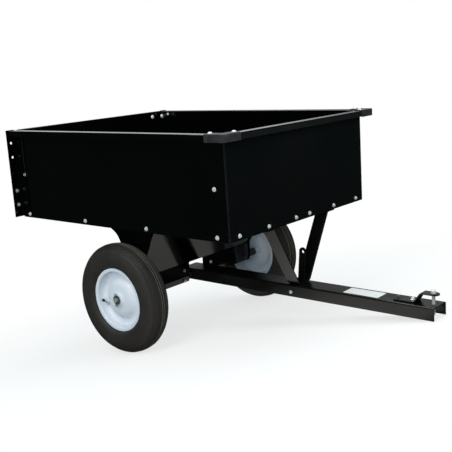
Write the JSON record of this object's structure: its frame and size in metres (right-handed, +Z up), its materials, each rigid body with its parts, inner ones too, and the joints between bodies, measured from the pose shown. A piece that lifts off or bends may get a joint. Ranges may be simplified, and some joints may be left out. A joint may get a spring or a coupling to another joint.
{
  "type": "lawn tractor trailer",
  "caption": "Tipping steel cart for a lawn tractor: open box bed on a cross axle with pneumatic wheels, channel drawbar with a pinned hitch and a sliding tailgate.",
  "frame": {"origin": "on the ground, at the middle of the parked cart's box", "axes": "+X forward towards the hitch, +Y to the left, +Z up"},
  "size_m": [1.4864, 0.861, 0.8769],
  "materials": {
    "black_enamel": "gloss black enamel",
    "white_enamel": "gloss white enamel",
    "zinc_plate": "bright zinc plate",
    "tyre_rubber": "matt moulded rubber",
    "valve_rubber": "matt moulded rubber"
  },
  "bodies": {
    "drawbar": {"drawbar": "black_enamel", "latch_lever": "black_enamel", "latch_pin": "zinc_plate", "hitch_strap": "black_enamel", "hitch_pin": "zinc_plate", "pin_ring": "zinc_plate"},
    "bed": {"bed_floor": "black_enamel", "side_panel_right": "black_enamel", "side_panel_left": "black_enamel", "front_panel": "black_enamel", "corner_cap_right": "black_enamel", "corner_cap_left": "black_enamel", "rear_post_right": "black_enamel", "rear_post_left": "black_enamel", "tailgate_guide_right": "black_enamel", "tailgate_guide_left": "black_enamel", "axle_support_front": "black_enamel", "axle_support_rear": "black_enamel", "axle_end_plate_right": "black_enamel", "axle_end_plate_left": "black_enamel", "axle_trough_right": "black_enamel", "axle_trough_left": "black_enamel", "latch_stand": "black_enamel", "axle": "zinc_plate", "axle_spacer_right": "zinc_plate", "axle_spacer_left": "zinc_plate", "wheel_spacer_right": "zinc_plate", "wheel_spacer_left": "zinc_plate", "axle_washer_right": "zinc_plate", "axle_washer_left": "zinc_plate"},
    "tailgate": {"tailgate": "black_enamel"},
    "wheel_right": {"tyre_right": "tyre_rubber", "wheel_rim_right": "white_enamel", "wheel_hub_right": "white_enamel", "valve_right": "valve_rubber"},
    "wheel_left": {"tyre_left": "tyre_rubber", "wheel_rim_left": "white_enamel", "wheel_hub_left": "white_enamel", "valve_left": "valve_rubber"}
  },
  "joints": [
    {"name": "bed_tip", "type": "hinge", "parent": "drawbar", "child": "bed", "pos_m": [-0.27223, 0, 0.199], "axis": [0, -1, 0], "range_deg": [0, 45]},
    {"name": "tailgate_slide", "type": "slide", "parent": "bed", "child": "tailgate", "axis": [0.1799, 0, 0.9837], "range_m": [0, 0.33]},
    {"name": "wheel_right_spin", "type": "hinge", "parent": "bed", "child": "wheel_right", "pos_m": [-0.27223, -0.378, 0.199], "axis": [0, 1, 0], "continuous": true},
    {"name": "wheel_left_spin", "type": "hinge", "parent": "bed", "child": "wheel_left", "pos_m": [-0.27223, 0.378, 0.199], "axis": [0, 1, 0], "continuous": true}
  ]
}
